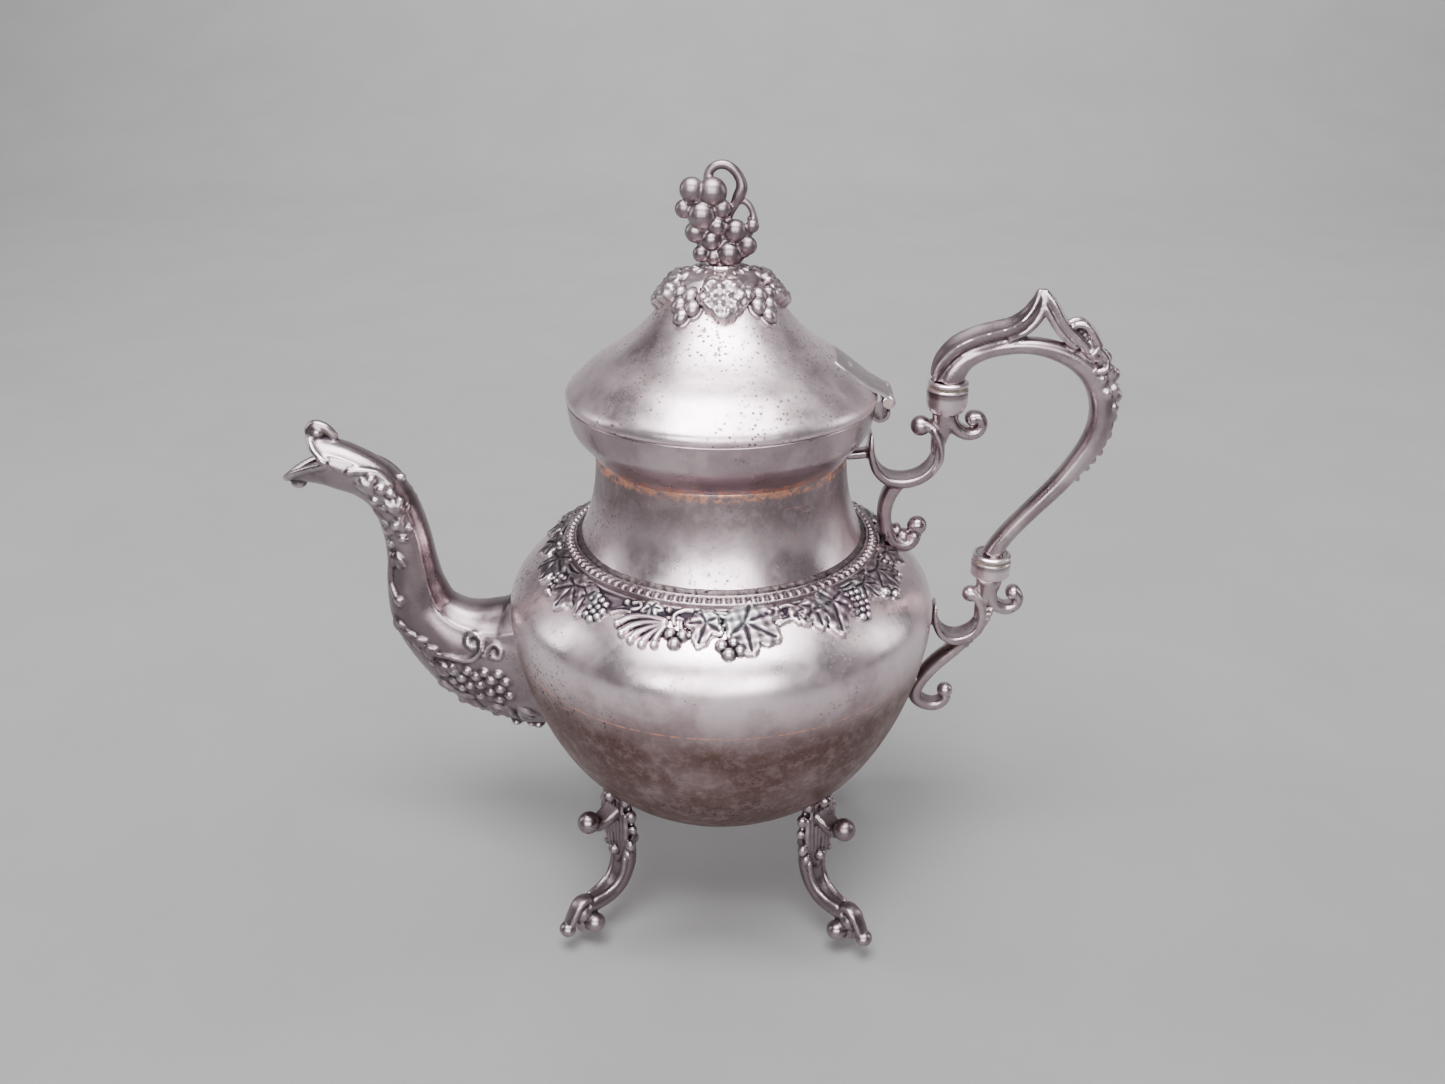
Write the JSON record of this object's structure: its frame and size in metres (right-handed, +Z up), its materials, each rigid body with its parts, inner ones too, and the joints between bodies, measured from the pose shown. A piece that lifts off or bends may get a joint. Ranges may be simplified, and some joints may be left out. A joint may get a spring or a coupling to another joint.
{
  "type": "teapot",
  "caption": "Footed silver-plated teapot with a domed hinged lid, grape finial, grapevine border, swan-neck spout and scrolled handle, for brewing and pouring tea.",
  "frame": {"origin": "point on the bowl's axis at table level", "axes": "+Z up along the bowl's axis, +X towards the handle, -X towards the spout"},
  "size_m": [0.2843, 0.1516, 0.2649],
  "materials": {
    "spun_silver": "tarnished silver plate on spun brass, satin, with dark specks and a warm brown bloom",
    "cast_silver": "silver plate on cast metal, semi-gloss, dark in the recesses, copper-coloured at worn edges",
    "oxidised_silver": "heavily oxidised silver plate with rubbed high points",
    "bare_brass": "plain drawn metal",
    "insulator": "off-white fibre washer"
  },
  "bodies": {
    "pot": {"lower_bowl": "spun_silver", "upper_body": "spun_silver", "rim_band": "spun_silver", "shoulder_border": "oxidised_silver", "spout": "cast_silver", "foot_rear_right": "cast_silver", "foot_rear_left": "cast_silver", "foot_front_left": "cast_silver", "foot_front_right": "cast_silver", "upper_bracket": "cast_silver", "lower_bracket": "cast_silver", "upper_socket": "cast_silver", "lower_socket": "cast_silver", "upper_insulator": "insulator", "lower_insulator": "insulator", "upper_collar": "cast_silver", "lower_collar": "cast_silver", "upper_pin": "bare_brass", "lower_pin": "bare_brass", "handle": "cast_silver", "hinge_body_leaf": "cast_silver", "hinge_pin": "bare_brass"},
    "lid": {"hinge_lid_leaf": "cast_silver", "lid_shell": "spun_silver", "lid_flange": "spun_silver", "finial_rosette": "oxidised_silver", "finial": "oxidised_silver", "finial_stud": "bare_brass", "finial_washer": "bare_brass", "finial_nut": "bare_brass"}
  },
  "joints": [
    {"name": "lid_hinge", "type": "hinge", "parent": "pot", "child": "lid", "pos_m": [0.0552, 0, 0.1913], "axis": [0, 1, 0], "range_deg": [0, 90]}
  ]
}
